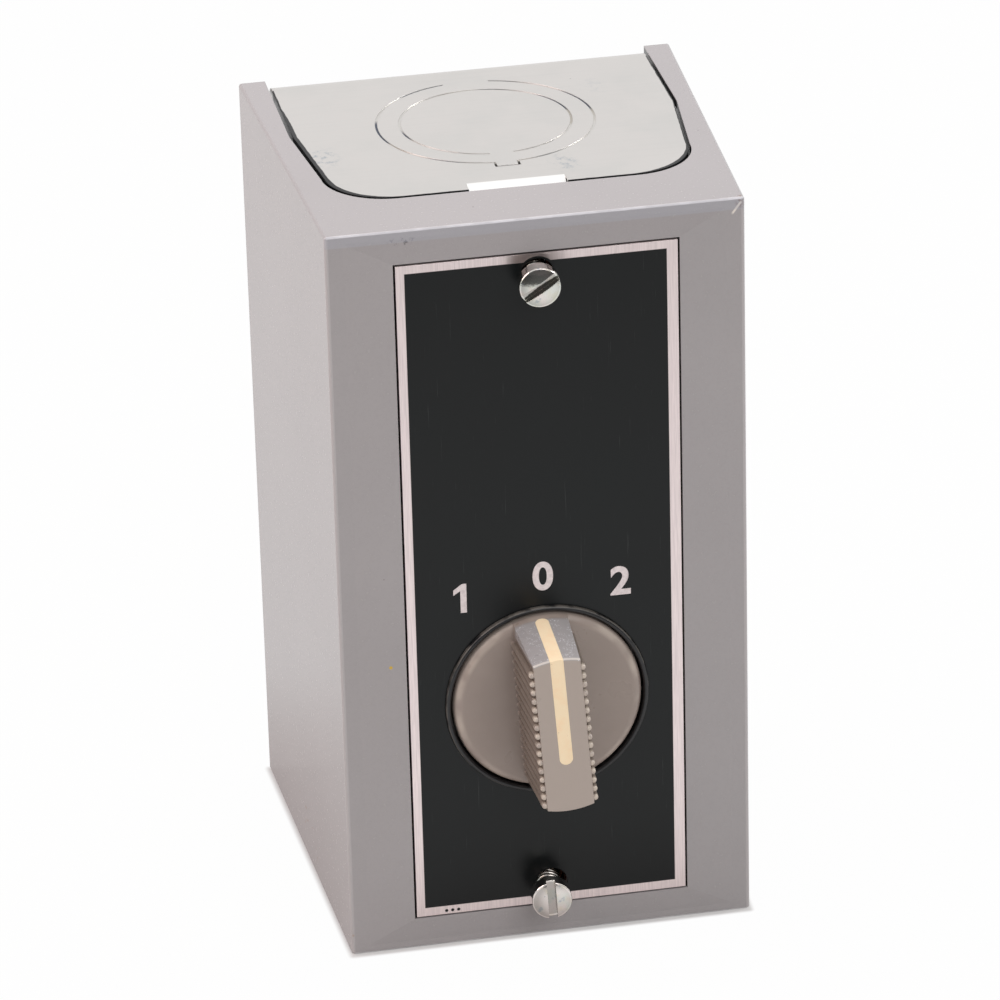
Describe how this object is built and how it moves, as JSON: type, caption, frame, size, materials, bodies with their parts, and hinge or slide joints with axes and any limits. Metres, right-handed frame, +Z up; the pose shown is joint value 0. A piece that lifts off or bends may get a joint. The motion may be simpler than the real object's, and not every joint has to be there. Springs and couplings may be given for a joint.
{
  "type": "selector switch control station",
  "caption": "Wall control station: grey sheet-metal cover over a plated bracket, black nameplate and a ribbed lever knob that turns to a middle position and either side.",
  "frame": {"origin": "centre of the bracket's back face, which lies on the wall", "axes": "+Z up, front faces -Y, +X to the right as seen from the front"},
  "size_m": [0.0578, 0.0649, 0.1018],
  "materials": {
    "painted_cover": "satin grey paint",
    "zinc_plate": "zinc plated",
    "enamel_plate": "black enamel with a bare silver border",
    "bright_screw": "bright zinc",
    "green_screw": "green dyed zinc",
    "fibre": "vulcanised fibre",
    "black_ring": "satin moulded",
    "black_phenolic": "moulded",
    "brown_phenolic": "moulded",
    "taupe_plastic": "moulded, fine satin",
    "cream_paint": "filled stripe",
    "cam_plastic": "moulded",
    "spring_steel": "spring steel",
    "contact_brass": "brass with silver buttons"
  },
  "bodies": {
    "station": {"base_bracket": "zinc_plate", "ground_screw": "green_screw", "cover": "painted_cover", "nameplate": "enamel_plate", "mounting_yoke": "zinc_plate", "cover_screws": "bright_screw", "screw_retainers": "fibre", "bezel_ring": "black_ring", "operator_housing": "black_phenolic", "detent_spring": "spring_steel", "contact_block": "brown_phenolic", "block_cover": "brown_phenolic", "return_spring_left": "spring_steel", "return_spring_right": "spring_steel", "fixed_contact_upper_left": "contact_brass", "fixed_contact_upper_right": "contact_brass", "fixed_contact_lower_left": "contact_brass", "fixed_contact_lower_right": "contact_brass", "terminal_screws": "bright_screw", "wire_clamps": "zinc_plate", "stack_screws": "bright_screw"},
    "selector": {"selector_knob": "taupe_plastic", "pointer_inlay": "cream_paint", "cam": "cam_plastic", "cam_screw": "bright_screw"},
    "left_plunger": {"plunger_left": "cam_plastic", "bridge_left": "contact_brass"},
    "right_plunger": {"plunger_right": "cam_plastic", "bridge_right": "contact_brass"}
  },
  "joints": [
    {"name": "selector_turn", "type": "hinge", "parent": "station", "child": "selector", "pos_m": [0, -0.0537, -0.0161], "axis": [0, -1, 0], "range_deg": [-45, 45], "deforming": ["detent_spring"]},
    {"name": "left_plunger_travel", "type": "slide", "parent": "station", "child": "left_plunger", "axis": [0, 1, 0], "range_m": [-0.0015, 0.0015], "deforming": ["return_spring_left"]},
    {"name": "right_plunger_travel", "type": "slide", "parent": "station", "child": "right_plunger", "axis": [0, 1, 0], "range_m": [-0.0015, 0.0015], "deforming": ["return_spring_right"]}
  ],
  "couplings": [
    {"joint": "left_plunger_travel", "follows": "selector_turn", "m_per_rad": 0.0019098},
    {"joint": "right_plunger_travel", "follows": "selector_turn", "m_per_rad": -0.0019098}
  ]
}
